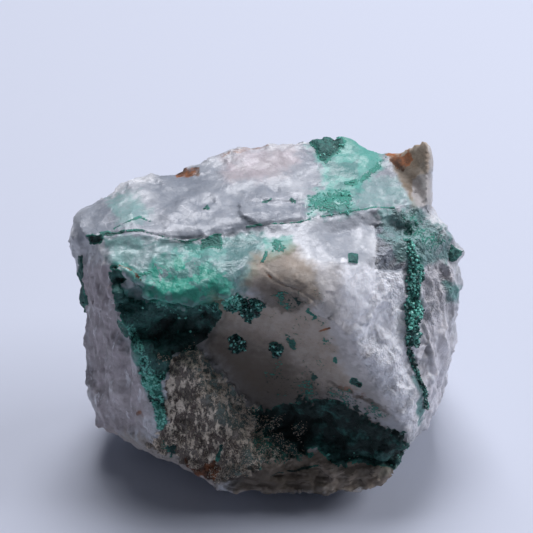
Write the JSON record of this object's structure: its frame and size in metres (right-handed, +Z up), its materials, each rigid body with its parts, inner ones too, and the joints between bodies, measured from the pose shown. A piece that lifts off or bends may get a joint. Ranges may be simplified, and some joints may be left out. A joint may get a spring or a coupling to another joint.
{
  "type": "malachite and quartz hand specimen",
  "caption": "Rough hand specimen of milky quartz with a crust and seam of green malachite, broken flat underneath, so that it stands on its foot.",
  "frame": {"origin": "under the middle of the bounding box, on the plane that the rock stands on", "axes": "+Z up, +X along the rock's longest side, -Y towards the show side with the hollow, the seam and the malachite"},
  "size_m": [0.0612, 0.043, 0.0508],
  "materials": {
    "malachite_quartz": "satin"
  },
  "bodies": {
    "root": {"malachite_quartz_rock": "malachite_quartz"}
  },
  "joints": []
}
